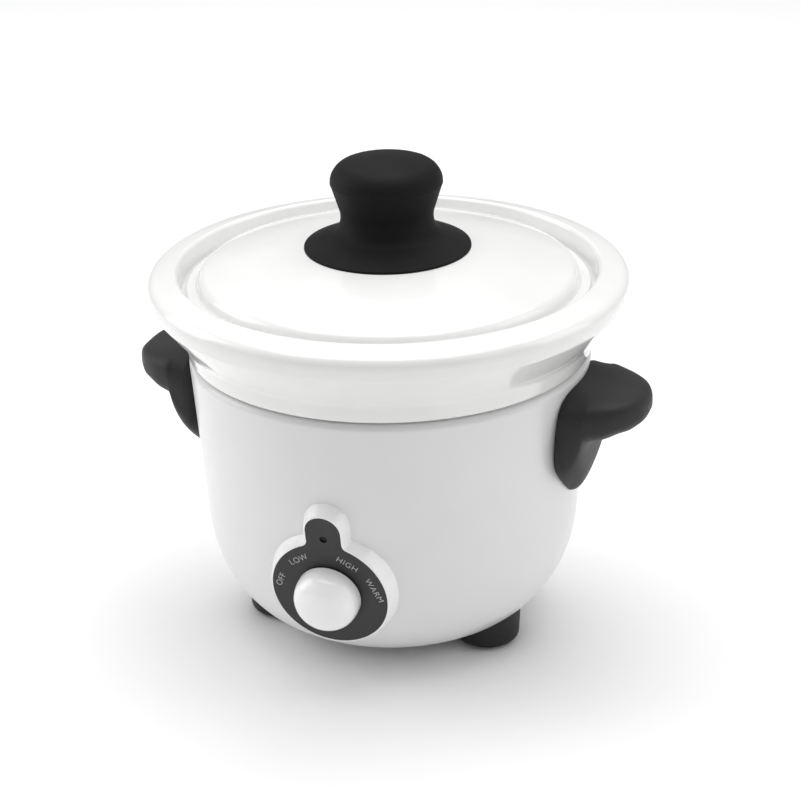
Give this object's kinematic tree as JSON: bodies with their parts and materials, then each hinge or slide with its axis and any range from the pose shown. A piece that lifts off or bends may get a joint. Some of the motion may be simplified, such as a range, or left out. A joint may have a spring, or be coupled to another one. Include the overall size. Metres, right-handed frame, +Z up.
{
  "type": "slow cooker",
  "caption": "Round countertop slow cooker with a lift-out ceramic crock, a domed ceramic lid with a knob, side handles and a front rotary control.",
  "frame": {"origin": "on the table, on the vertical axis of the pot", "axes": "+Z up, -Y towards the front with the control panel, +X towards the handle on the right as seen from the front"},
  "size_m": [0.2194, 0.1959, 0.2015],
  "materials": {
    "white_glaze": "gloss",
    "white_enamel": "gloss",
    "white_plastic": "gloss",
    "black_phenolic": "satin",
    "black_plastic": "matte",
    "black_rubber": "matte",
    "grey_rubber": "matte",
    "dark_lens": "gloss",
    "clear_glass": "gloss",
    "aluminium_sheet": "satin",
    "mica_band": "matte",
    "terminal_ceramic": "matte",
    "galvanised_sheet": "satin",
    "plated_steel": "satin",
    "brass_metal": "satin"
  },
  "bodies": {
    "base": {"outer_housing": "white_enamel", "inner_liner": "aluminium_sheet", "heating_band": "mica_band", "band_clamp_strap": "plated_steel", "band_clamp_screw": "plated_steel", "right_handle": "black_phenolic", "left_handle": "black_phenolic", "handle_screws": "plated_steel", "front_left_foot": "black_phenolic", "front_right_foot": "black_phenolic", "rear_foot": "black_phenolic", "foot_screws": "plated_steel", "foot_pads": "grey_rubber", "base_cover": "galvanised_sheet", "base_stud": "plated_steel", "base_washer": "plated_steel", "base_nut": "plated_steel", "control_bezel": "white_plastic", "bezel_screws": "plated_steel", "dial_plate": "black_plastic", "indicator_lens": "dark_lens", "indicator_lamp": "clear_glass", "rotary_switch": "black_plastic", "switch_terminals": "brass_metal", "switch_nut": "plated_steel", "cord_gland": "black_rubber", "terminal_block": "terminal_ceramic", "thermal_fuse": "plated_steel", "fuse_clip": "plated_steel"},
    "crock": {"crock": "white_glaze"},
    "lid": {"lid": "white_glaze", "lid_knob": "black_phenolic", "lid_knob_washer": "plated_steel", "lid_knob_screw": "plated_steel"},
    "control_knob": {"control_knob": "white_plastic", "switch_spindle": "brass_metal"}
  },
  "joints": [
    {"name": "crock_lift", "type": "slide", "parent": "base", "child": "crock", "axis": [0, 0, 1], "range_m": [0, 0.15]},
    {"name": "lid_lift", "type": "slide", "parent": "crock", "child": "lid", "axis": [0, 0, 1], "range_m": [0, 0.08]},
    {"name": "knob_turn", "type": "hinge", "parent": "base", "child": "control_knob", "pos_m": [0, -0.0782, 0.0452], "axis": [0, 0.9799, 0.1994], "range_deg": [0, 162]}
  ]
}
